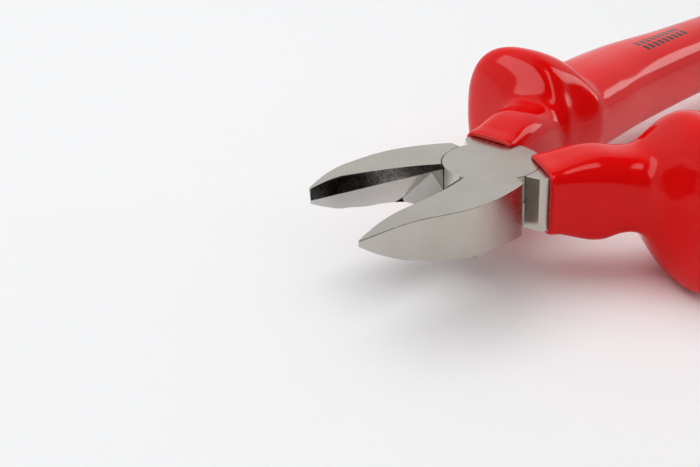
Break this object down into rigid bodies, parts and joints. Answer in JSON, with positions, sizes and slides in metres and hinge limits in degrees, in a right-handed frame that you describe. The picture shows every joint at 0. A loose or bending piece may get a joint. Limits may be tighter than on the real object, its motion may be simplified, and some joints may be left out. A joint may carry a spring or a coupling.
{
  "type": "diagonal cutting pliers",
  "caption": "Electrician's diagonal cutting pliers: lap-jointed steel jaws on a pivot, with thick dipped insulating sleeves and tall hand guards.",
  "frame": {"origin": "centre of the bounding box in plan, on the level of the hand guards' lowest points", "axes": "+X from the jaws towards the handle ends, +Z along the pivot axis towards the plain boss face, +Y towards the jaw of the lever that carries the lower half of the joint"},
  "size_m": [0.1518, 0.1018, 0.0321],
  "materials": {
    "steel": "satin, ground and lightly brushed",
    "sleeve": "dipped PVC, very glossy",
    "inner_layer": "matt contrast layer under the sleeve",
    "guard_core": "matt moulded core"
  },
  "bodies": {
    "boss_lever": {"lever_boss_side": "steel", "pivot_rivet": "steel", "inner_layer_boss_side": "inner_layer", "guard_core_boss_side": "guard_core", "sleeve_boss_side": "sleeve"},
    "pin_lever": {"lever_pin_side": "steel", "inner_layer_pin_side": "inner_layer", "guard_core_pin_side": "guard_core", "sleeve_pin_side": "sleeve"}
  },
  "joints": [
    {"name": "pivot", "type": "hinge", "parent": "boss_lever", "child": "pin_lever", "pos_m": [-0.04215, 0, 0.01605], "axis": [0, 0, 1], "range_deg": [-9, 33.4]}
  ]
}
